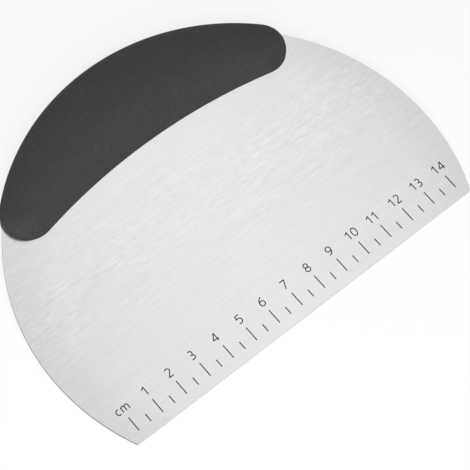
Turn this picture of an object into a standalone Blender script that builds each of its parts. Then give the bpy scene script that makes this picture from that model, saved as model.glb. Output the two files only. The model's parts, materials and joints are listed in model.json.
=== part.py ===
"""Dough scraper: a half-round steel blade, held along its round edge in a soft grip.

The parts are modelled in the blade's own frame: X runs along the straight edge, Y from that edge
towards the grip, and Z out of the face that carries the scale, with the middle of the sheet at
Z = 0. An empty then lays them on a bench, face up, on the straight edge and the back of the grip.
"""

from math import asin, atan2, cos, pi, radians, sin, sqrt

import bmesh
import bpy
from mathutils import Vector

MM = 0.001

# Blade: a disc of sheet steel with a straight edge cut across it
BLADE_RADIUS = 81.0 * MM
BLADE_CENTRE = 34.6 * MM  # from the straight edge to the centre of the round edge
BLADE_THICKNESS = 1.0 * MM
BLADE_CORNER = 0.8 * MM

# Grip: a crescent between an outer arc, round the blade's centre, and a flatter inner arc
GRIP_OVERHANG = 1.65 * MM  # beyond the blade's round edge
GRIP_WIDTH = 34.15 * MM  # across its middle
GRIP_INNER_RADIUS = 222.5 * MM
GRIP_END_RADIUS = 9.45 * MM
GRIP_THICKNESS = 17.0 * MM  # at its middle
GRIP_END_THICKNESS = 12.0 * MM
GRIP_SIDE = 2.5 * MM  # height of its upright sides over the sheet's middle, below the domed top
GRIP_INNER_SIDE = 0.6 * MM  # the same on the inner side, where the dome comes down to the blade
GRIP_TAPER = (radians(6), radians(84))  # directions below X between which the section changes
GRIP_WALL = 1.8 * MM

# Core: two rigid halves inside the grip, one each side of the blade
PEG_COUNT = 4
PEG_SPACING = 26.0 * MM
PEG_RADIUS = 3.0 * MM
PEG_REACH = 2.4 * MM  # into the back half
RIB = 2.2 * MM  # between a peg or its socket and the pocket next to it
POCKET_WIDTH = 9.0 * MM
POCKET_DEPTH = 2.0 * MM

CLEARANCE = 0.3 * MM  # between neighbours that touch on the real tool

OUTER_RADIUS = BLADE_RADIUS + GRIP_OVERHANG
INNER_CENTRE = BLADE_CENTRE + OUTER_RADIUS - GRIP_WIDTH - GRIP_INNER_RADIUS
PARTING = BLADE_THICKNESS / 2 + CLEARANCE  # height of the core's flat side over the blade's middle
CORE_INSET = GRIP_WALL + CLEARANCE

ARC_STEPS = 110  # along the blade's round edge
CORNER_STEPS = 4
SIDE_STEPS = 22  # along each long side of the grip
END_STEPS = 9  # round each end of the grip
SECTION_STEPS = 7  # from the top of the grip's side to its crest
ROUND_STEPS = 24
MERGE = 0.001 * MM


def arc(centre, radius, start, end, steps):
    """Points from one angle to another, both included."""
    angles = (start + (end - start) * step / steps for step in range(steps + 1))
    return [Vector((centre[0] + radius * cos(a), centre[1] + radius * sin(a))) for a in angles]


def blade_outline(grow=0.0):
    """The blade's edge, anticlockwise, moved outwards by grow."""
    corner_x = sqrt((BLADE_RADIUS - BLADE_CORNER) ** 2 - (BLADE_CENTRE - BLADE_CORNER) ** 2)
    low = atan2(BLADE_CORNER - BLADE_CENTRE, corner_x)
    corner = BLADE_CORNER + grow
    right = arc((corner_x, BLADE_CORNER), corner, -pi / 2, low, CORNER_STEPS)
    top = arc((0.0, BLADE_CENTRE), BLADE_RADIUS + grow, low, pi - low, ARC_STEPS)
    left = arc((-corner_x, BLADE_CORNER), corner, pi - low, 3 * pi / 2, CORNER_STEPS)
    return right + top[1:-1] + left


def grip_spine(angle):
    """The middle of the crescent in one direction from the blade's centre, and its half width there.

    It is as far from the outer arc as from the inner one, which makes it part of an ellipse.
    """
    both = OUTER_RADIUS + GRIP_INNER_RADIUS
    apart = BLADE_CENTRE - INNER_CENTRE
    reach = (both**2 - apart**2) / (2 * (both + apart * sin(angle)))
    point = Vector((reach * cos(angle), BLADE_CENTRE + reach * sin(angle)))
    return point, OUTER_RADIUS - reach


def grip_end_angle():
    """The direction in which the crescent's half width has come down to its end radius."""
    both = OUTER_RADIUS + GRIP_INNER_RADIUS
    apart = BLADE_CENTRE - INNER_CENTRE
    reach = OUTER_RADIUS - GRIP_END_RADIUS
    sine = ((both**2 - apart**2) / (2 * reach) - both) / apart
    return atan2(sine, sqrt(1 - sine**2))


def grip_stations():
    """Places round the crescent's rim: a point of the spine, the half width and the way out."""
    end = grip_end_angle()
    angles = [end + (pi - 2 * end) * step / SIDE_STEPS for step in range(SIDE_STEPS + 1)]
    outer = [(*grip_spine(angle), angle) for angle in angles]
    inner = []
    for point, width, _ in reversed(outer):
        inner.append((point, width, atan2(INNER_CENTRE - point.y, -point.x)))

    def turn(place, start, finish):
        step = (finish - start) / END_STEPS
        return [(*place[:2], start + step * count) for count in range(1, END_STEPS)]

    left = turn(outer[-1], outer[-1][2], inner[0][2] + 2 * pi)
    right = turn(inner[-1], inner[-1][2], outer[0][2])
    return outer + left + inner + right


def half_thickness(width):
    """The grip's half thickness where its half width is as given."""
    share = (width - GRIP_END_RADIUS) / (GRIP_WIDTH / 2 - GRIP_END_RADIUS)
    return (GRIP_END_THICKNESS + (GRIP_THICKNESS - GRIP_END_THICKNESS) * share) / 2


def inner_share(direction):
    """0 where the rim faces outwards, 1 where it faces the straight edge, and between round the ends."""
    start, full = GRIP_TAPER
    below_x = asin(-sin(direction))
    share = min(max((below_x - start) / (full - start), 0.0), 1.0)
    return share**2 * (3 - 2 * share)


def surface_height(width, direction, tilt, inset):
    """The height of the grip's top where it faces a direction, from its side to its crest.

    The section is a quarter ellipse on the outer side, and half a parabola on the inner one, which
    meets the blade at a slant.
    """
    share = inner_share(direction)
    side = GRIP_SIDE + (GRIP_INNER_SIDE - GRIP_SIDE) * share
    return side + (half_thickness(width) - inset - side) * sin(tilt) ** (1 + share)


def add_object(name, data, collection, material=None):
    """A mesh or curve as an object that lies on the bench with the rest."""
    obj = bpy.data.objects.new(name, data)
    collection.objects.link(obj)
    obj.parent = resting_place
    if material:
        data.materials.append(material)
    if collection is cutters:
        obj.hide_render = True
        obj.display_type = "WIRE"
    return obj


def mesh_from(bm, name):
    """The finished bmesh as a mesh, with its faces turned outwards."""
    bmesh.ops.recalc_face_normals(bm, faces=bm.faces)
    mesh = bpy.data.meshes.new(name)
    bm.to_mesh(mesh)
    bm.free()
    return mesh


def pillow(name, inset):
    """The grip's crescent, upright at its sides and domed on both faces, or a smaller one inside it."""
    bm = bmesh.new()
    stations = grip_stations()
    tilts = [pi / 2 * step / SECTION_STEPS for step in range(SECTION_STEPS + 1)]
    loops = []
    for face, tilt in [(-1, tilt) for tilt in reversed(tilts)] + [(1, tilt) for tilt in tilts]:
        loop = []
        for point, width, angle in stations:
            flat = point + (width - inset) * cos(tilt) * Vector((cos(angle), sin(angle)))
            up = surface_height(width, angle, tilt, inset)
            loop.append(bm.verts.new((flat.x, flat.y, face * up)))
        loops.append(loop)
    for lower, upper in zip(loops, loops[1:]):
        for side in range(len(stations)):
            after = (side + 1) % len(stations)
            bm.faces.new((lower[side], lower[after], upper[after], upper[side]))
    bmesh.ops.remove_doubles(bm, verts=bm.verts, dist=MERGE)
    return mesh_from(bm, name)


def plate_curve(name, outlines, thickness):
    """A flat sheet with its middle at Z = 0, from its outline and those of its holes."""
    curve = bpy.data.curves.new(name, "CURVE")
    curve.dimensions = "2D"
    curve.fill_mode = "BOTH"
    curve.extrude = thickness / 2
    for points in outlines:
        spline = curve.splines.new("POLY")
        spline.points.add(len(points) - 1)
        for knot, point in zip(spline.points, points):
            knot.co = (point.x, point.y, 0.0, 1.0)
        spline.use_cyclic_u = True
    return curve


def plate(name, outlines, thickness, divide_at=None):
    """The same sheet as a welded mesh, with its faces divided along a line across it."""
    curve = plate_curve(name + "_outline", outlines, thickness)
    guide = add_object(name + "_outline", curve, cutters)
    bpy.context.view_layer.update()
    shape = bpy.data.meshes.new_from_object(guide.evaluated_get(bpy.context.evaluated_depsgraph_get()))
    bpy.data.objects.remove(guide)
    bm = bmesh.new()
    bm.from_mesh(shape)
    bpy.data.meshes.remove(shape)
    bmesh.ops.remove_doubles(bm, verts=bm.verts, dist=MERGE)
    if divide_at is not None:
        parts = bm.verts[:] + bm.edges[:] + bm.faces[:]
        bmesh.ops.bisect_plane(bm, geom=parts, plane_co=(0, divide_at, 0), plane_no=(0, 1, 0))
    return mesh_from(bm, name)


def half_pillow(name, inset, side):
    """The part of a pillow on one side of the blade, flat towards it."""
    bm = bmesh.new()
    whole = pillow(name + "_whole", inset)
    bm.from_mesh(whole)
    bpy.data.meshes.remove(whole)
    parts = bm.verts[:] + bm.edges[:] + bm.faces[:]
    place = (0, 0, side * PARTING)
    bmesh.ops.bisect_plane(bm, geom=parts, plane_co=place, plane_no=(0, 0, side), clear_inner=True)
    rim = [edge for edge in bm.edges if edge.is_boundary]
    bmesh.ops.edgeloop_fill(bm, edges=rim)
    return mesh_from(bm, name)


def peg_angles():
    """The directions of the pegs from the blade's centre, evenly spaced along the spine."""
    middle, _ = grip_spine(pi / 2)
    step = PEG_SPACING / (middle.y - BLADE_CENTRE)
    return [pi / 2 + step * (number - (PEG_COUNT - 1) / 2) for number in range(PEG_COUNT)]


def peg_places():
    return [grip_spine(angle)[0] for angle in peg_angles()]


def cylinders(name, radius, bottom, top):
    """Upright cylinders at all the pegs' places."""
    bm = bmesh.new()
    for place in peg_places():
        made = bmesh.ops.create_cone(
            bm, cap_ends=True, segments=ROUND_STEPS, radius1=radius, radius2=radius, depth=top - bottom
        )
        bmesh.ops.translate(bm, verts=made["verts"], vec=(place.x, place.y, (top + bottom) / 2))
    return mesh_from(bm, name)


def pockets(name):
    """Blocks between neighbouring pegs, as deep as the core's pockets on both sides of the blade."""
    bm = bmesh.new()
    places = peg_places()
    for one, other in zip(places, places[1:]):
        along = other - one
        length = along.length - 2 * (PEG_RADIUS + CLEARANCE + RIB)
        made = bmesh.ops.create_cube(bm, size=1.0)
        size = (length, POCKET_WIDTH, 2 * (PARTING + POCKET_DEPTH))
        bmesh.ops.scale(bm, verts=made["verts"], vec=size)
        turn = Vector((along.x, along.y, 0)).to_track_quat("X", "Z").to_matrix()
        bmesh.ops.rotate(bm, verts=made["verts"], matrix=turn)
        middle = (one + other) / 2
        bmesh.ops.translate(bm, verts=made["verts"], vec=(middle.x, middle.y, 0))
    return mesh_from(bm, name)


def boolean(obj, operation, cutter):
    modifier = obj.modifiers.new(f"{operation.lower()} {cutter.name}", "BOOLEAN")
    modifier.operation = operation
    modifier.solver = "EXACT"
    modifier.object = cutter


def finish(name, colour, roughness, metallic=0.0):
    material = bpy.data.materials.new(name)
    material.use_nodes = True
    shader = material.node_tree.nodes["Principled BSDF"]
    shader.inputs["Base Color"].default_value = (*colour, 1.0)
    shader.inputs["Roughness"].default_value = roughness
    shader.inputs["Metallic"].default_value = metallic
    material.diffuse_color = (*colour, 1.0)
    return material


def smooth(mesh):
    mesh.shade_smooth()
    mesh.set_sharp_from_angle(angle=pi / 5)


def lay_on_bench(blade, grip):
    """Leans the tool until the grip's back and the straight edge are level, with its base at Z = 0."""
    edge_drop = BLADE_THICKNESS / 2
    skin = [vertex.co for vertex in grip.vertices]
    lean = max(atan2(-point.z - edge_drop, point.y) for point in skin)
    points = skin + [vertex.co for vertex in blade.vertices]
    across = [point.y * cos(lean) - point.z * sin(lean) for point in points]
    resting_place.rotation_euler.x = lean
    resting_place.location = (0.0, -(min(across) + max(across)) / 2, edge_drop * cos(lean))


for old in list(bpy.data.objects):
    bpy.data.objects.remove(old)

scraper = bpy.data.collections.new("dough_scraper")
cutters = bpy.data.collections.new("cutters")
bpy.context.scene.collection.children.link(scraper)
bpy.context.scene.collection.children.link(cutters)
resting_place = bpy.data.objects.new("resting_place", None)
scraper.objects.link(resting_place)

steel = finish("brushed stainless steel", (0.70, 0.70, 0.69), 0.32, metallic=1.0)
polypropylene = finish("moulded polypropylene", (0.035, 0.035, 0.037), 0.45)
elastomer = finish("soft-touch elastomer", (0.058, 0.058, 0.060), 0.62)

# Blade, with a hole for each peg and its faces divided along a line just clear of the grip
end_point, end_radius = grip_spine(grip_end_angle())
clear_line = end_point.y - end_radius - CLEARANCE
hole_radius = PEG_RADIUS + CLEARANCE
holes = [arc(place, hole_radius, 0.0, 2 * pi, ROUND_STEPS)[:-1] for place in peg_places()]
blade_mesh = plate("blade", [blade_outline(), *holes], BLADE_THICKNESS, clear_line)
blade = add_object("blade", blade_mesh, scraper, steel)

# Grip: one skin round the core, with a slot for the blade all along its inner side
grip_mesh = pillow("grip", 0.0)
smooth(grip_mesh)
grip = add_object("grip", grip_mesh, scraper, elastomer)
boolean(grip, "DIFFERENCE", add_object("core_space", pillow("core_space", GRIP_WALL), cutters))
slot_mesh = plate("blade_slot", [blade_outline(CLEARANCE)], 2 * PARTING)
boolean(grip, "DIFFERENCE", add_object("blade_slot", slot_mesh, cutters))

# Core: the front half has the pegs, which pass through the blade into the back half's sockets
pocket_cutter = add_object("core_pockets", pockets("core_pockets"), cutters)
peg_tip = -PARTING - PEG_REACH
peg_root = PARTING + POCKET_DEPTH
front_mesh = half_pillow("core_front", CORE_INSET, 1)
core_front = add_object("core_front", front_mesh, scraper, polypropylene)
pegs = add_object("pegs", cylinders("pegs", PEG_RADIUS, peg_tip, peg_root), cutters)
boolean(core_front, "DIFFERENCE", pocket_cutter)
boolean(core_front, "UNION", pegs)

back_mesh = half_pillow("core_back", CORE_INSET, -1)
core_back = add_object("core_back", back_mesh, scraper, polypropylene)
socket_mesh = cylinders("sockets", hole_radius, peg_tip - CLEARANCE, -PARTING / 2)
boolean(core_back, "DIFFERENCE", pocket_cutter)
boolean(core_back, "DIFFERENCE", add_object("sockets", socket_mesh, cutters))

lay_on_bench(blade_mesh, grip_mesh)
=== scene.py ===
import json
from math import acos, asin, atan2, cos, pi, radians, sin, tan

import bmesh
import bpy
from mathutils import Matrix, Quaternion, Vector


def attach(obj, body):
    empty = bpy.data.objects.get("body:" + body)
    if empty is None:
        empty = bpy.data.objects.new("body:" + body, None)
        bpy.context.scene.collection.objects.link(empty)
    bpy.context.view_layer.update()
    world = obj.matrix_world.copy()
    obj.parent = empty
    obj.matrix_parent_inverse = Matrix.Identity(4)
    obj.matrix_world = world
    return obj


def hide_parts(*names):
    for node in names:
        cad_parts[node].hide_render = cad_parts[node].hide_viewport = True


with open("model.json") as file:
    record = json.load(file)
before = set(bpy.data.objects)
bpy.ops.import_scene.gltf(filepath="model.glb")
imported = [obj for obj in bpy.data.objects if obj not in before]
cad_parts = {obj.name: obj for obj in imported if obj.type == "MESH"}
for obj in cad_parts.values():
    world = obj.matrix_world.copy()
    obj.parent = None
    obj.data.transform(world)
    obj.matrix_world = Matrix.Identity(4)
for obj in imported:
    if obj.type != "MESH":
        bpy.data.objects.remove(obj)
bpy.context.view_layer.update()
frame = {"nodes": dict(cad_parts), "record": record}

MM = 0.001

# The scraper as it lies
# It rests face up on its straight edge and the back of its grip, so the sheet leans a little. All
# pieces are made in the sheet's own axes, with X along the straight edge, Y from it towards the grip
# and Z out of the face with the scale, and two of the record's mounts give the way from there.
mounts = {mount["name"]: mount for mount in frame["record"]["mounts"]}
across = Vector((1.0, 0.0, 0.0))
out_of_face = Vector(mounts["front_face"]["axis"]).normalized()
sheet_axes = Matrix((across, out_of_face.cross(across), out_of_face)).transposed()
lay_down = Matrix.Translation(mounts["straight_edge"]["pos_m"]) @ sheet_axes.to_4x4()
lean = sheet_axes.to_euler().x


def top_corner(node):
    """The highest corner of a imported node, in the sheet's own axes."""
    pick_up = lay_down.inverted()
    points = [pick_up @ vertex.co for vertex in frame["nodes"][node].data.vertices]
    return Vector([max(point[axis] for point in points) for axis in range(3)])


# Blade
# A disc of 1 mm stainless sheet with a straight working edge. Both faces are brushed along that
# edge, the round edge is tumbled and the straight one ground, and the corners are broken so that
# they don't cut. Four holes under the grip let the core's pegs through.
blade_top = top_corner("blade")
BLADE_RADIUS = blade_top.x
BLADE_CENTRE = blade_top.y - blade_top.x
HALF_SHEET = blade_top.z
BLADE_CORNER = 0.8 * MM
CORNER_STEPS = 6
EDGE_BREAK = 0.1 * MM
BREAK_STEPS = 3
RIM_STEPS = 480  # in a full circle
HOLE_STEPS = 48
FLAT = 0.999  # a face whose normal has more than this along Z is one of the two flat ones
STRAIGHT = 0.7  # a face whose normal, seen from above, has more than this down Y is the straight edge

# The crescent of the grip, and the holes that follow its middle
grip_top = top_corner("grip")
GRIP_WIDTH = 34.15 * MM  # across the middle of the crescent
GRIP_INNER_RADIUS = 222.5 * MM
GRIP_OUTER_RADIUS = grip_top.y - BLADE_CENTRE
INNER_CENTRE = grip_top.y - GRIP_WIDTH - GRIP_INNER_RADIUS
PEG_COUNT = 4
PEG_SPACING = 26.0 * MM
PEG_HOLE_RADIUS = 3.3 * MM


def spine(direction):
    """The middle of the grip's crescent in a direction from the blade's centre, and its half width.

    It is as far from the outer arc as from the inner one, which makes it part of an ellipse.
    """
    both = GRIP_OUTER_RADIUS + GRIP_INNER_RADIUS
    apart = BLADE_CENTRE - INNER_CENTRE
    reach = (both**2 - apart**2) / (2 * (both + apart * sin(direction)))
    point = Vector((reach * cos(direction), BLADE_CENTRE + reach * sin(direction), 0.0))
    return point, GRIP_OUTER_RADIUS - reach


def new_piece(name, bm, materials):
    """The finished bmesh, laid down on the bench as an object of its own."""
    mesh = bpy.data.meshes.new(name)
    bm.to_mesh(mesh)
    bm.free()
    mesh.transform(lay_down)
    for material in materials:
        mesh.materials.append(material)
    piece = bpy.data.objects.new(name, mesh)
    bpy.context.scene.collection.objects.link(piece)
    return piece


def linear(colour):
    """An sRGB hex colour as the linear values that shaders take."""
    shares = [int(colour[start:start + 2], 16) / 255 for start in (1, 3, 5)]
    return [share / 12.92 if share <= 0.04045 else ((share + 0.055) / 1.055) ** 2.4 for share in shares]


def new_material(name):
    """An empty node material, and the socket that its shader goes to."""
    material = bpy.data.materials.new(name)
    material.use_nodes = True
    material.node_tree.nodes.clear()
    surface = material.node_tree.nodes.new("ShaderNodeOutputMaterial").inputs["Surface"]
    return material, surface


def add_node(tree, kind, inputs, **settings):
    """A node with its settings. Each input is a value, or the output of another node."""
    made = tree.nodes.new(kind)
    for name, value in settings.items():
        setattr(made, name, value)
    for name, value in inputs.items():
        if isinstance(value, bpy.types.NodeSocket):
            tree.links.new(value, made.inputs[name])
        else:
            made.inputs[name].default_value = value
    return made


def uneven(tree, lengths, detail, low, high):
    """A value that wanders from low to high, in grains of these lengths along the sheet's own axes."""
    place = add_node(tree, "ShaderNodeTexCoord", {}).outputs["Object"]
    # A mapping of type TEXTURE turns the lean back and divides by the lengths
    turned = add_node(
        tree,
        "ShaderNodeMapping",
        {"Vector": place, "Rotation": (lean, 0.0, 0.0), "Scale": lengths},
        vector_type="TEXTURE",
    )
    noise = add_node(
        tree,
        "ShaderNodeTexNoise",
        {"Vector": turned.outputs["Vector"], "Scale": 1.0, "Detail": detail},
    )
    # Noise keeps mostly between 0.3 and 0.7
    ranged = add_node(
        tree,
        "ShaderNodeMapRange",
        {"Value": noise.outputs["Fac"], "From Min": 0.3, "From Max": 0.7, "To Min": low, "To Max": high},
        clamp=False,
    )
    return ranged.outputs["Result"]


# Stainless steel, belt-brushed: a pale satin metal whose grooves spread the light across the
# brushing. The grooves are about 0.05 mm wide, too fine to show, so their bunches are drawn 0.8 mm
# wide and 3 to 4 mm long. They are deeper where the belt pressed harder: in soft patches of 6 to
# 20 mm, and in a wide band between the scale and the grip. Towards the round edge the colour is
# painted darker: painted shade, for the light falling off there.
STEEL = "#d8d8d7"
GROOVES = (3.6 * MM, 0.85 * MM, 3.6 * MM)
LONG_GROOVES = (22.0 * MM, 0.8 * MM, 22.0 * MM)
PATCHES = (16.0 * MM, 7.0 * MM, 16.0 * MM)
PRESSED_LINE = 54.0 * MM  # the middle of that band, from the straight edge
PRESSED_REACH = 30.0 * MM  # to each side of its middle
LIGHT_PRESSURE = 0.45  # of the grooves' depth there
# Painted shade next to the round edge: how wide it is, and how dark it is drawn
EDGE_SHADE_BAND = 18.0 * MM
EDGE_SHADE_LEVEL = 0.93  # share of the full shade left at the round edge, as painted shade

brushed_steel, surface = new_material("brushed stainless steel")
tree = brushed_steel.node_tree
place = add_node(tree, "ShaderNodeTexCoord", {}).outputs["Object"]

# Full depth in the middle of the pressed band, less to both sides of it
band_middle = lay_down @ Vector((0.0, PRESSED_LINE, HALF_SHEET))
from_band = add_node(tree, "ShaderNodeVectorMath", {0: place, 1: band_middle}, operation="SUBTRACT")
aside = add_node(
    tree,
    "ShaderNodeVectorMath",
    {0: from_band.outputs["Vector"], 1: sheet_axes.col[1]},
    operation="DOT_PRODUCT",
)
distance = add_node(tree, "ShaderNodeMath", {0: aside.outputs["Value"]}, operation="ABSOLUTE")
pressure = add_node(
    tree,
    "ShaderNodeMapRange",
    {"Value": distance.outputs[0], "From Max": PRESSED_REACH, "To Min": 1.0, "To Max": LIGHT_PRESSURE},
    interpolation_type="SMOOTHSTEP",
)
depth = add_node(
    tree,
    "ShaderNodeMath",
    {0: pressure.outputs["Result"], 1: uneven(tree, PATCHES, 2.0, 0.032, 0.076)},
    operation="MULTIPLY",
)

# Short bunches of grooves, and the long ones that they lie among
bunches = add_node(
    tree,
    "ShaderNodeMath",
    {0: uneven(tree, GROOVES, 2.0, -1.0, 1.0), 1: depth.outputs[0], 2: 1.0},
    operation="MULTIPLY_ADD",
)
brushing = add_node(
    tree,
    "ShaderNodeMath",
    {0: bunches.outputs[0], 1: uneven(tree, LONG_GROOVES, 1.0, 0.98, 1.02)},
    operation="MULTIPLY",
)

# Painted shade: the colour is drawn darker, smoothly, over the band next to the round edge, for the
# light falling off there
blade_middle = lay_down @ Vector((0.0, BLADE_CENTRE, HALF_SHEET))
radius = add_node(tree, "ShaderNodeVectorMath", {0: place, 1: blade_middle}, operation="DISTANCE")
edge_shade_ramp = add_node(
    tree,
    "ShaderNodeMapRange",
    {
        "Value": radius.outputs["Value"],
        "From Min": BLADE_RADIUS - EDGE_SHADE_BAND,
        "From Max": BLADE_RADIUS,
        "To Min": 1.0,
        "To Max": EDGE_SHADE_LEVEL,
    },
    interpolation_type="SMOOTHSTEP",
)
shaded_brushing = add_node(
    tree,
    "ShaderNodeMath",
    {0: brushing.outputs[0], 1: edge_shade_ramp.outputs["Result"]},
    operation="MULTIPLY",
)
shade = add_node(
    tree,
    "ShaderNodeMath",
    {0: shaded_brushing.outputs[0], 1: uneven(tree, PATCHES, 2.0, 0.985, 1.015)},
    operation="MULTIPLY",
)
tint = add_node(
    tree,
    "ShaderNodeVectorMath",
    {0: linear(STEEL), "Scale": shade.outputs[0]},
    operation="SCALE",
)
roughness = add_node(
    tree,
    "ShaderNodeMath",
    {0: uneven(tree, GROOVES, 2.0, 0.265, 0.295), 1: uneven(tree, PATCHES, 2.0, 0.94, 1.06)},
    operation="MULTIPLY",
)
relief = add_node(
    tree,
    "ShaderNodeBump",
    {"Height": brushing.outputs[0], "Strength": 0.04, "Distance": 0.02 * MM},
)
tangent = add_node(tree, "ShaderNodeTangent", {}, direction_type="UV_MAP", uv_map="brushing")
metal = add_node(
    tree,
    "ShaderNodeBsdfPrincipled",
    {
        "Base Color": tint.outputs["Vector"],
        "Metallic": 1.0,
        "Roughness": roughness.outputs[0],
        "Anisotropic": 0.6,
        "Normal": relief.outputs["Normal"],
        "Tangent": tangent.outputs["Tangent"],
    },
)
tree.links.new(metal.outputs["BSDF"], surface)

# The same steel along the edges. The round edge was sheared and tumbled, with no lie to its
# scratches; its dark grey is partly that duller finish and partly painted shade on its side. The
# straight edge is ground after that and is as bright as the faces.
SHEARED_AND_SHADED_STEEL = "#8e8e8d"
GROUND_STEEL = "#dcdcdb"
SCRATCHES = (0.6 * MM, 0.6 * MM, 0.3 * MM)

edge_steels = []
for name, colour in (("sheared stainless rim with painted shade", SHEARED_AND_SHADED_STEEL), ("ground stainless edge", GROUND_STEEL)):
    edge_steel, surface = new_material(name)
    tree = edge_steel.node_tree
    tint = add_node(
        tree,
        "ShaderNodeVectorMath",
        {0: linear(colour), "Scale": uneven(tree, SCRATCHES, 2.0, 0.95, 1.05)},
        operation="SCALE",
    )
    metal = add_node(
        tree,
        "ShaderNodeBsdfPrincipled",
        {
            "Base Color": tint.outputs["Vector"],
            "Metallic": 1.0,
            "Roughness": uneven(tree, SCRATCHES, 2.0, 0.34, 0.44),
        },
    )
    tree.links.new(metal.outputs["BSDF"], surface)
    edge_steels.append(edge_steel)

# The disc, cut straight along X
bm = bmesh.new()
bmesh.ops.create_circle(bm, segments=RIM_STEPS, radius=BLADE_RADIUS)
bmesh.ops.translate(bm, verts=bm.verts, vec=(0.0, BLADE_CENTRE, -HALF_SHEET))
disc = bm.verts[:] + bm.edges[:]
bmesh.ops.bisect_plane(bm, geom=disc, plane_co=(0, 0, 0), plane_no=(0, -1, 0), clear_outer=True)
cut_ends = [vertex for vertex in bm.verts if len(vertex.link_edges) == 1]
bm.edges.new(cut_ends)
corner_angle = pi / 2 + asin(BLADE_CENTRE / BLADE_RADIUS)
bmesh.ops.bevel(
    bm,
    geom=cut_ends,
    offset=BLADE_CORNER / tan(corner_angle / 2),
    affect="VERTICES",
    segments=CORNER_STEPS,
    profile=0.5,
    material=-1,
)

# The holes, evenly spaced about the middle
middle, _ = spine(pi / 2)
peg_step = PEG_SPACING / (middle.y - BLADE_CENTRE)
for number in range(PEG_COUNT):
    hole, _ = spine(pi / 2 + peg_step * (number - (PEG_COUNT - 1) / 2))
    hole.z = -HALF_SHEET
    bmesh.ops.create_circle(
        bm, segments=HOLE_STEPS, radius=PEG_HOLE_RADIUS, matrix=Matrix.Translation(hole)
    )

# The sheet's thickness and its broken edges
bmesh.ops.triangle_fill(bm, edges=bm.edges, use_beauty=True)
raised = bmesh.ops.extrude_face_region(bm, geom=bm.faces[:])
raised_verts = [part for part in raised["geom"] if isinstance(part, bmesh.types.BMVert)]
bmesh.ops.translate(bm, verts=raised_verts, vec=(0.0, 0.0, 2 * HALF_SHEET))
bmesh.ops.recalc_face_normals(bm, faces=bm.faces)
rim = [
    edge
    for edge in bm.edges
    if {abs(face.normal.z) > FLAT for face in edge.link_faces} == {True, False}
]
bmesh.ops.bevel(
    bm, geom=rim, offset=EDGE_BREAK, affect="EDGES", segments=BREAK_STEPS, profile=0.5, material=-1
)
brushing_map = bm.loops.layers.uv.new("brushing")
for face in bm.faces:
    face.smooth = True
    if abs(face.normal.z) < FLAT:
        # The second steel is the sheared one, darkened with painted shade, and the third the ground one
        face.material_index = 2 if face.normal.y < -STRAIGHT * face.normal.xy.length else 1
    for loop in face.loops:
        # U runs across the grooves, because that is the way they spread the light
        loop[brushing_map].uv = (loop.vert.co.y / BLADE_RADIUS, loop.vert.co.x / BLADE_RADIUS)
for edge in bm.edges:
    edge.smooth = edge.link_faces[0].material_index == edge.link_faces[1].material_index
blade = new_piece("blade_sheet", bm, [brushed_steel, *edge_steels])
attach(blade, "root")
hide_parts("blade")

# Scale
# A centimetre scale burnt into the face along the straight edge, with a long line each centimetre
# and a short one each half. It stands a little askew to the edge. The laser leaves a dark oxide
# that is hardly raised.
MARK_DEPTH = 0.03 * MM
MARK_HEIGHT = 0.02 * MM
LAYER_RISE = 0.1  # of that height, from one stroke of a sign to the next
LINE_WIDTH = 0.37 * MM

# Where the marks lie on the face, in millimetres
LAST_NUMBER = 14
LINE_STEP = 5.0
LINE_START = 3.8  # from the straight edge
SHORT_LINE = 3.1
LONG_LINE = 5.6
SIGN_START = 11.62  # from the straight edge
DIGIT_PITCH = 2.5
UNIT_PITCH = 2.2
SCALE_SHIFT = 0.1  # towards the high end
SCALE_SLOPE = 0.003
SAME_POINT = 0.01  # ends of a stroke that are nearer than this are joined
# How far the middle of each number stands to the side of its line, and that of the unit from zero
NUMBER_SHIFTS = (-0.4, -0.05, -0.35, -0.45, 0.0, -0.05, -0.1, -0.05, -0.1, 0.0, -0.8, -0.2, -0.35, 0.05)
UNIT_SHIFT = 0.15


def bow(centre_x, centre_y, radius_x, radius_y, start, end, steps=14):
    """Points along part of an ellipse, from one angle to another in degrees."""
    angles = [radians(start + (end - start) * step / steps) for step in range(steps + 1)]
    return [(centre_x + radius_x * cos(angle), centre_y + radius_y * sin(angle)) for angle in angles]


# Each sign is a width and a few pen strokes, in millimetres from its lower left corner
SIGNS = {
    "0": (1.86, [bow(0.93, 1.55, 0.93, 1.55, 0, 360, 28)]),
    "1": (1.05, [[(0.0, 2.25), (1.05, 3.1)], [(1.05, 3.15), (1.05, 0.0)]]),
    "2": (1.7, [bow(0.78, 2.3, 0.82, 0.8, 150, -35) + [(0.0, 0.05)], [(-0.05, 0.0), (1.75, 0.0)]]),
    "3": (
        1.65,
        [bow(0.72, 2.32, 0.78, 0.78, 130, -80) + [(0.4, 1.55)], bow(0.65, 0.78, 1.0, 0.78, 80, -125)],
    ),
    "4": (2.0, [[(1.6, 0.0), (1.6, 3.15)], [(1.5, 3.05), (0.0, 0.9)], [(-0.1, 0.85), (2.15, 0.85)]]),
    "5": (1.8, [[(1.75, 3.1), (0.3, 3.05), (0.12, 1.65)], bow(0.75, 1.0, 1.05, 0.98, 125, -125)]),
    "6": (1.9, [bow(0.95, 0.97, 0.92, 0.96, 0, 360, 24), bow(1.75, 0.97, 1.7, 2.13, 90, 180)]),
    "7": (1.85, [[(0.0, 3.1), (1.85, 3.1), (0.55, 0.0)]]),
    "8": (1.84, [bow(0.92, 2.35, 0.76, 0.75, 0, 360, 24), bow(0.92, 0.8, 0.92, 0.8, 0, 360, 24)]),
    "9": (1.84, [bow(0.92, 2.13, 0.92, 0.96, 0, 360, 24), bow(0.12, 2.13, 1.7, 2.13, 0, -90)]),
    "c": (1.4, [bow(0.78, 1.03, 0.78, 1.03, 55, 305, 18)]),
    "m": (
        2.58,
        [
            [(0.0, 0.0), (0.0, 2.05)],
            bow(0.64, 1.4, 0.64, 0.65, 180, 0) + [(1.28, 0.0)],
            bow(1.93, 1.4, 0.65, 0.65, 180, 0) + [(2.58, 0.0)],
        ],
    ),
}

bm = bmesh.new()


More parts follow.
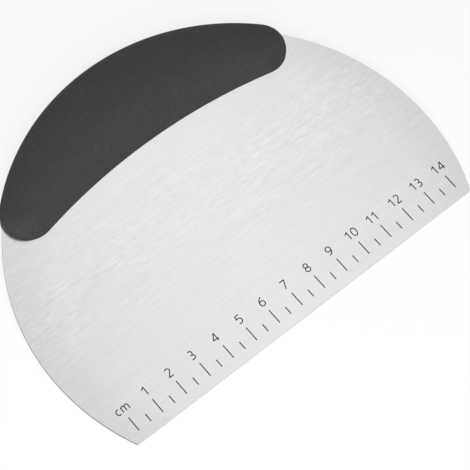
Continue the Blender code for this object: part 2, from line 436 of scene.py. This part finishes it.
def draw_stroke(points, height):
    """A low wall along points in millimetres, joined up where they come back to the first one."""
    closed = (Vector(points[0]) - Vector(points[-1])).length < SAME_POINT
    knots = points[:-1] if closed else points
    bottom = HALF_SHEET - MARK_DEPTH
    verts = [bm.verts.new((x * MM, (y + x * SCALE_SLOPE) * MM, bottom)) for x, y in knots]
    pairs = list(zip(verts, verts[1:])) + ([(verts[-1], verts[0])] if closed else [])
    risen = bmesh.ops.extrude_edge_only(bm, edges=[bm.edges.new(pair) for pair in pairs])
    tops = [part for part in risen["geom"] if isinstance(part, bmesh.types.BMVert)]
    bmesh.ops.translate(bm, verts=tops, vec=(0.0, 0.0, MARK_DEPTH + height))


def write(text, middle_x, pitch):
    """Signs side by side, with their middle at middle_x, in millimetres."""
    width = pitch * (len(text) - 1) + SIGNS[text[-1]][0]
    for number, sign in enumerate(text):
        left = middle_x - width / 2 + number * pitch
        for layer, stroke in enumerate(SIGNS[sign][1]):
            # Each stroke ends a hair higher than the one before, so that no two tops coincide
            height = MARK_HEIGHT * (1 + LAYER_RISE * layer)
            draw_stroke([(left + x, SIGN_START + y) for x, y in stroke], height)


scale_zero = SCALE_SHIFT - LINE_STEP * LAST_NUMBER
for half in range(2 * LAST_NUMBER + 1):
    x = scale_zero + LINE_STEP * half
    length = SHORT_LINE if half % 2 else LONG_LINE
    draw_stroke([(x, LINE_START), (x, LINE_START + length)], MARK_HEIGHT)
for number, shift in enumerate(NUMBER_SHIFTS, 1):
    write(str(number), scale_zero + 2 * LINE_STEP * number + shift, DIGIT_PITCH)
write("cm", scale_zero + UNIT_SHIFT, UNIT_PITCH)

# Oxide burnt on by a laser: nearly black and quite matt, thinner in places
OXIDE = "#1c1c1c"
BURN = (0.8 * MM, 0.8 * MM, 0.8 * MM)

oxide, surface = new_material("laser-marked oxide")
tree = oxide.node_tree
tint = add_node(
    tree,
    "ShaderNodeVectorMath",
    {0: linear(OXIDE), "Scale": uneven(tree, BURN, 1.0, 0.8, 1.2)},
    operation="SCALE",
)
film = add_node(
    tree,
    "ShaderNodeBsdfPrincipled",
    {
        "Base Color": tint.outputs["Vector"],
        "Roughness": uneven(tree, BURN, 1.0, 0.5, 0.65),
        "Specular IOR Level": 0.3,
    },
)
tree.links.new(film.outputs["BSDF"], surface)

marks = new_piece("scale_marks", bm, [oxide])
wall = marks.modifiers.new("line width", "SOLIDIFY")
wall.thickness = LINE_WIDTH
wall.offset = 0.0
wall.use_even_offset = True
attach(marks, "root")

# Core
# Two rigid halves inside the grip, moulded in polypropylene. The front half's pegs pass through
# the blade into the back half's sockets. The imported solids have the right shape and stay.
POLYPROPYLENE = "#343436"
FLOW = (6.0 * MM, 3.0 * MM, 3.0 * MM)

polypropylene, surface = new_material("moulded polypropylene")
tree = polypropylene.node_tree
tint = add_node(
    tree,
    "ShaderNodeVectorMath",
    {0: linear(POLYPROPYLENE), "Scale": uneven(tree, FLOW, 2.0, 0.92, 1.08)},
    operation="SCALE",
)
plastic = add_node(
    tree,
    "ShaderNodeBsdfPrincipled",
    {"Base Color": tint.outputs["Vector"], "Roughness": uneven(tree, FLOW, 2.0, 0.4, 0.5)},
)
tree.links.new(plastic.outputs["BSDF"], surface)
for name in ("core_front", "core_back"):
    slot = frame["nodes"][name].material_slots[0]
    slot.link = "OBJECT"
    slot.material = polypropylene

# Grip
# A crescent of soft-touch elastomer, moulded as one skin round the core and the blade's round edge.
# Its inner side has a slot all along, in which the blade stands. Both faces are domed: upright at
# the outer side, where the palm lies, and coming down at a slant to the blade on the inner one.
GRIP_END_RADIUS = 9.45 * MM
GRIP_END_THICKNESS = 12.0 * MM
GRIP_SIDE = 2.5 * MM  # height of its upright sides over the sheet's middle, below the domed top
GRIP_INNER_SIDE = 0.6 * MM  # the same on the inner side, where the dome comes down to the sheet
GRIP_TAPER = (radians(6), radians(84))  # directions below X between which the section changes
SLOT_CLEARANCE = 0.04 * MM
SKIN = GRIP_OUTER_RADIUS - BLADE_RADIUS - SLOT_CLEARANCE
SIDE_STEPS = 150  # along each long side
END_STEPS = 16  # round each half of an end
SECTION_STEPS = 26  # from the upright side to the crest
HAIR = 0.001 * MM  # points that are nearer than this are one
SHARP = pi / 4  # an edge that turns more than this is not smoothed


def half_thickness(half_width):
    """The grip's half thickness where its half width is as given."""
    share = (half_width - GRIP_END_RADIUS) / (GRIP_WIDTH / 2 - GRIP_END_RADIUS)
    return GRIP_END_THICKNESS / 2 + (grip_top.z - GRIP_END_THICKNESS / 2) * share


def inner_share(direction):
    """0 where the rim faces outwards, 1 where it faces the straight edge, and between round the ends."""
    start, full = GRIP_TAPER
    below_x = asin(-sin(direction))
    share = min(max((below_x - start) / (full - start), 0.0), 1.0)
    return share**2 * (3 - 2 * share)


def rim_point(station, height, inset):
    """A point of the upright side over one station, or of the wall behind it."""
    point, half_width, direction = station
    out = half_width - inset
    return point + Vector((out * cos(direction), out * sin(direction), height))


def dome_point(station, tilt, inset):
    """A point of the domed top over one station, from 0 at the side to a quarter turn at the crest.

    The section is a quarter ellipse on the outer side, and half a parabola on the inner one.
    """
    point, half_width, direction = station
    out = (half_width - inset) * cos(tilt)
    share = inner_share(direction)
    side = GRIP_SIDE + (GRIP_INNER_SIDE - GRIP_SIDE) * share
    up = side + (half_thickness(half_width) - inset - side) * sin(tilt) ** (1 + share)
    return point + Vector((out * cos(direction), out * sin(direction), up))


# The spine ends in the direction in which its half width is down to the radius of the round ends
both_radii = GRIP_OUTER_RADIUS + GRIP_INNER_RADIUS
centres_apart = BLADE_CENTRE - INNER_CENTRE
end_reach = GRIP_OUTER_RADIUS - GRIP_END_RADIUS
end_direction = asin(((both_radii**2 - centres_apart**2) / (2 * end_reach) - both_radii) / centres_apart)

# The slot ends where the rim of the crescent's round end crosses the blade's edge
slot_radius = BLADE_RADIUS + SLOT_CLEARANCE
crossing = acos((slot_radius**2 - end_reach**2 - GRIP_END_RADIUS**2) / (2 * end_reach * GRIP_END_RADIUS))

# A station is a point of the spine, its half width, and the direction of the rim from it
side_step = (pi - 2 * end_direction) / SIDE_STEPS
directions = [end_direction + side_step * step for step in range(SIDE_STEPS + 1)]
outer_side = [(*spine(direction), direction) for direction in directions]
inner_side = [
    (point, half_width, atan2(INNER_CENTRE - point.y, -point.x) % (2 * pi))
    for point, half_width, _ in reversed(outer_side)
]


def turn(station, *directions):
    """Stations round an end of the crescent, between the first and last of these directions."""
    made = []
    for start, finish in zip(directions, directions[1:]):
        step = (finish - start) / END_STEPS
        made += [(*station[:2], start + step * count) for count in range(1, END_STEPS + 1)]
    return made[:-1]


left_start, left_finish = outer_side[-1][2], inner_side[0][2]
left_end = turn(outer_side[-1], left_start, left_start + crossing, left_finish)
right_start, right_finish = inner_side[-1][2], outer_side[0][2] + 2 * pi
right_end = turn(inner_side[-1], right_start, right_finish - crossing, right_finish)
stations = outer_side + left_end + inner_side + right_end

disc_centre = Vector((0.0, BLADE_CENTRE, 0.0))
lip_height = HALF_SHEET + SLOT_CLEARANCE
bm = bmesh.new()


def raise_half(inset):
    """The upper half of the skin's outer surface, or of the inner one that lies inset from it."""
    ring = [bm.verts.new(rim_point(station, 0.0, inset)) for station in stations]
    loop = [bm.edges.new(pair) for pair in zip(ring, ring[1:] + ring[:1])]
    in_slot = {
        vertex
        for vertex, station in zip(ring, stations)
        if (rim_point(station, 0.0, 0.0) - disc_centre).length < slot_radius + HAIR
    }
    for step in range(-1, SECTION_STEPS + 1):
        grown = bmesh.ops.extrude_edge_only(bm, edges=loop)["geom"]
        loop = [part for part in grown if isinstance(part, bmesh.types.BMEdge)]
        fresh = {part for part in grown if isinstance(part, bmesh.types.BMVert)}
        # The new points, in the order of the stations
        ends = [edge.other_vert(vertex) for vertex in ring for edge in vertex.link_edges]
        ring = [vertex for vertex in ends if vertex in fresh]
        for station, vertex in zip(stations, ring):
            if step < 0:
                vertex.co = rim_point(station, lip_height, inset)
            else:
                vertex.co = dome_point(station, pi / 2 * step / SECTION_STEPS, inset)
    slot_faces = [face for face in bm.faces if sum(vertex in in_slot for vertex in face.verts) == 2]
    bmesh.ops.delete(bm, geom=slot_faces, context="FACES")


raise_half(0.0)
raise_half(SKIN)
bmesh.ops.remove_doubles(bm, verts=bm.verts, dist=HAIR)
upper_half = bm.verts[:] + bm.edges[:] + bm.faces[:]
bmesh.ops.mirror(bm, geom=upper_half, merge_dist=HAIR, axis="Z")
bmesh.ops.bridge_loops(bm, edges=[edge for edge in bm.edges if edge.is_boundary])
bmesh.ops.recalc_face_normals(bm, faces=bm.faces)
for face in bm.faces:
    face.smooth = True
for edge in bm.edges:
    edge.smooth = edge.calc_face_angle(0.0) < SHARP

# Soft-touch elastomer: a matt charcoal skin, from a mould with a fine spark-eroded grain that takes
# away the gloss. The grain is about 0.1 mm, too fine to show, and is drawn 0.4 mm. Where more or
# less of it is polished off, the skin is faintly mottled, in specks of about 1 mm.
CHARCOAL = "#3d3d3e"
MOULD_GRAIN = (0.4 * MM, 0.4 * MM, 0.4 * MM)
MOTTLE = (1.5 * MM, 1.5 * MM, 1.5 * MM)
BLOOM = (9.0 * MM, 6.0 * MM, 6.0 * MM)

elastomer, surface = new_material("soft-touch elastomer")
tree = elastomer.node_tree
shade = add_node(
    tree,
    "ShaderNodeMath",
    {0: uneven(tree, BLOOM, 3.0, 0.94, 1.06), 1: uneven(tree, MOTTLE, 2.0, 0.92, 1.08)},
    operation="MULTIPLY",
)
tint = add_node(
    tree,
    "ShaderNodeVectorMath",
    {0: linear(CHARCOAL), "Scale": shade.outputs[0]},
    operation="SCALE",
)
relief = add_node(
    tree,
    "ShaderNodeBump",
    {"Height": uneven(tree, MOULD_GRAIN, 2.0, 0.3, 0.7), "Strength": 0.35, "Distance": 0.03 * MM},
)
skin = add_node(
    tree,
    "ShaderNodeBsdfPrincipled",
    {
        "Base Color": tint.outputs["Vector"],
        "Roughness": uneven(tree, BLOOM, 3.0, 0.58, 0.64),
        "Specular IOR Level": 0.15,
        "Normal": relief.outputs["Normal"],
    },
)
tree.links.new(skin.outputs["BSDF"], surface)
grip = new_piece("grip_skin", bm, [elastomer])
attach(grip, "root")
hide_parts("grip")

# Bench
# A plain sheet of white card. Seen by the camera and in the steel, most of its white is its own, so
# that it meets the white surroundings and still keeps the scraper's soft shadow. It lies a hair
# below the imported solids, because the grip's smooth skin bulges that far past their flat faces.
WHITE = (1.0, 1.0, 1.0, 1.0)
BENCH_SIZE = 3.0
BENCH_DROP = 0.06 * MM
OWN_WHITE = 0.8


def seen_ray(tree):
    """1 for a ray of the camera, a reflection or a refraction, and 0 for one that carries light."""
    ray = add_node(tree, "ShaderNodeLightPath", {}).outputs
    seen = add_node(
        tree, "ShaderNodeMath", {0: ray["Is Camera Ray"], 1: ray["Is Glossy Ray"]}, operation="MAXIMUM"
    )
    seen_or_refracted = add_node(
        tree, "ShaderNodeMath", {0: seen.outputs[0], 1: ray["Is Transmission Ray"]}, operation="MAXIMUM"
    )
    return seen_or_refracted.outputs[0]


card, surface = new_material("white card")
tree = card.node_tree
lit = add_node(tree, "ShaderNodeBsdfDiffuse", {"Color": WHITE})
own = add_node(tree, "ShaderNodeEmission", {"Color": WHITE, "Strength": 1.0})
own_share = add_node(tree, "ShaderNodeMath", {0: seen_ray(tree), 1: OWN_WHITE}, operation="MULTIPLY")
card_mix = add_node(
    tree,
    "ShaderNodeMixShader",
    {0: own_share.outputs[0], 1: lit.outputs["BSDF"], 2: own.outputs["Emission"]},
)
tree.links.new(card_mix.outputs["Shader"], surface)

mesh = bpy.data.meshes.new("bench")
bm = bmesh.new()
bmesh.ops.create_grid(bm, x_segments=1, y_segments=1, size=BENCH_SIZE / 2)
bmesh.ops.translate(bm, verts=bm.verts, vec=(0.0, 0.0, -BENCH_DROP))
bm.to_mesh(mesh)
bm.free()
mesh.materials.append(card)
bench = bpy.data.objects.new("bench", mesh)
bpy.context.scene.collection.objects.link(bench)

# Light
# Plain studio light: white surroundings, a large soft lamp on the camera's side and a faint one
# behind the scraper, which the sheet mirrors towards the camera.
ROOM_LEVEL = 0.3


def way(azimuth, elevation):
    """A direction, from degrees round from +X and up from the bench."""
    flat = cos(radians(elevation))
    return Vector((flat * cos(radians(azimuth)), flat * sin(radians(azimuth)), sin(radians(elevation))))


def lamp(name, away, distance, width, height, level):
    """A soft box aimed at the scraper, its width along X, that gives a share of plain light there."""
    light = bpy.data.lights.new(name, "AREA")
    light.shape = "RECTANGLE"
    light.size = width
    light.size_y = height
    light.energy = level * (pi * distance) ** 2
    sideways = (across - away * away.dot(across)).normalized()
    holder = bpy.data.objects.new(name, light)
    holder.location = away * distance
    holder.rotation_euler = Matrix((sideways, away.cross(sideways), away)).transposed().to_euler()
    bpy.context.scene.collection.objects.link(holder)
    return holder


front_lamp = lamp("front_lamp", way(-124.4, 49.2), distance=0.6, width=0.4, height=0.4, level=0.92)
front_lamp.visible_glossy = False  # the steel shows the white surroundings, and not the lamp
lamp("back_lamp", way(39, 67), distance=1.4, width=0.3, height=0.9, level=0.012)

world = bpy.data.worlds.new("white surroundings")
world.use_nodes = True
bpy.context.scene.world = world
tree = world.node_tree
tree.nodes.clear()
room = add_node(tree, "ShaderNodeBackground", {"Color": WHITE, "Strength": ROOM_LEVEL})
white = add_node(tree, "ShaderNodeBackground", {"Color": WHITE, "Strength": 1.0})
sky = add_node(
    tree,
    "ShaderNodeMixShader",
    {0: seen_ray(tree), 1: room.outputs["Background"], 2: white.outputs["Background"]},
)
add_node(tree, "ShaderNodeOutputWorld", {"Surface": sky.outputs["Shader"]})

# Camera
# The photograph is taken from the low end of the scale, well above the bench, with a long lens.
AIM = Vector((-1.14, 37.47, 0.5)) * MM  # on the sheet's face
CAMERA_AWAY = way(-130.829, 62.065)
CAMERA_ROLL = radians(0.878)
CAMERA_DISTANCE = 696.5 * MM
SENSOR = 36.0  # millimetres, and so is the lens
LENS = 157.9

view = bpy.data.cameras.new("camera")
view.sensor_fit = "HORIZONTAL"
view.sensor_width = SENSOR
view.lens = LENS
camera = bpy.data.objects.new("camera", view)
camera.location = lay_down @ AIM + CAMERA_AWAY * CAMERA_DISTANCE
upright = CAMERA_AWAY.to_track_quat("Z", "Y")
camera.rotation_euler = (upright @ Quaternion((0.0, 0.0, 1.0), CAMERA_ROLL)).to_euler()
bpy.context.scene.collection.objects.link(camera)
bpy.context.scene.camera = camera
bpy.context.scene.view_settings.view_transform = "Standard"
